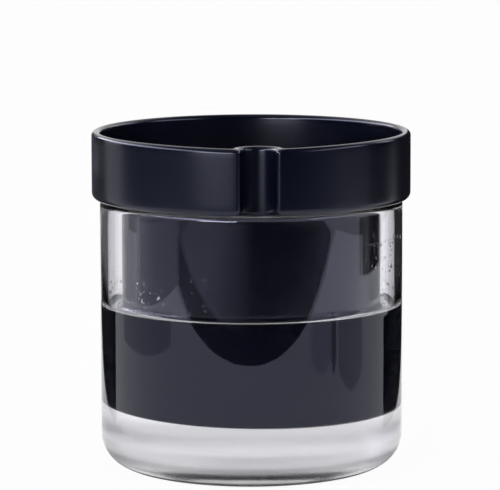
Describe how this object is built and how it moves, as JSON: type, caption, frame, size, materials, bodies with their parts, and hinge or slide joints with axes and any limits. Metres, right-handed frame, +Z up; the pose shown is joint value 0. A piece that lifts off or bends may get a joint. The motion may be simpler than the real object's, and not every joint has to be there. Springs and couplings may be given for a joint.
{
  "type": "self-watering planter",
  "caption": "Round glass water vessel with a black glazed terracotta pot hung in it by an overhanging collar, which has a filling notch at the front.",
  "frame": {"origin": "centre of the vessel's flat foot, on the surface that it stands on", "axes": "+Z up along the axis of the vessel and pot, and -Y towards the filling notch"},
  "size_m": [0.18, 0.1792, 0.191],
  "materials": {
    "clear_glass": "polished",
    "clear_water": "polished",
    "black_glaze": "satin"
  },
  "bodies": {
    "vessel": {"glass_vessel": "clear_glass", "water_reserve": "clear_water"},
    "pot": {"terracotta_pot": "black_glaze"}
  },
  "joints": [
    {"name": "pot_lift", "type": "slide", "parent": "vessel", "child": "pot", "axis": [0, 0, 1], "range_m": [0, 0.13]}
  ]
}
